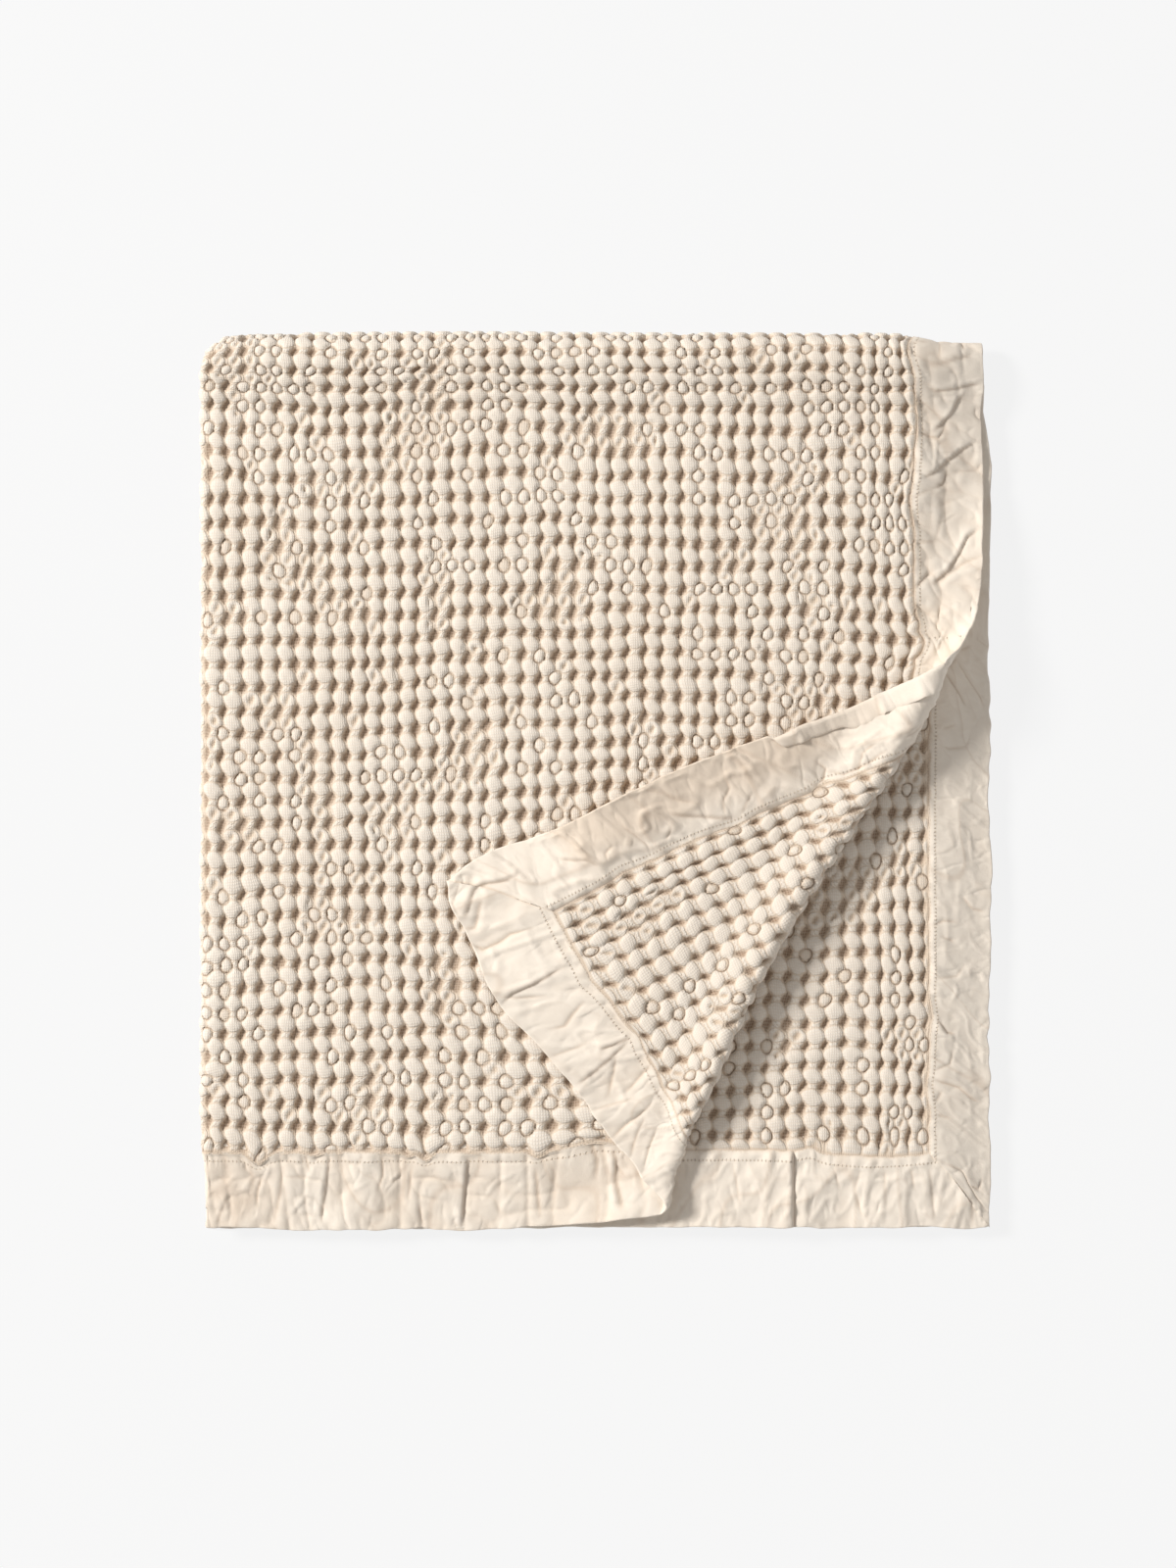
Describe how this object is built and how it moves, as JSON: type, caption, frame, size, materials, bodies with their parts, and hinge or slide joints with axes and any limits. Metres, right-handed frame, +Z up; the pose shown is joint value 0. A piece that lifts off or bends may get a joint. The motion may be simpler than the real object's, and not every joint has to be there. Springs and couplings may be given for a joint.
{
  "type": "waffle weave cotton blanket",
  "caption": "Cream waffle weave cotton blanket with plain mitred cotton borders, folded in quarters with the top layer's corner turned back; lies on a flat surface",
  "frame": {"origin": "middle of the folded stack's footprint, on the surface that it lies on", "axes": "+Z up from the surface; +Y towards the soft roll of the second fold, -Y towards the hems; -X towards the first fold, +X towards the free side borders"},
  "size_m": [0.6396, 0.7288, 0.0678],
  "materials": {
    "waffle_cotton": "matt washed cotton, double-faced waffle weave",
    "border_cotton": "matt washed plain-weave cotton, softly creased"
  },
  "bodies": {
    "root": {"waffle_panel": "waffle_cotton", "side_border_outer": "border_cotton", "side_border_inner": "border_cotton", "end_border_upper": "border_cotton", "end_border_lower": "border_cotton"}
  },
  "joints": []
}
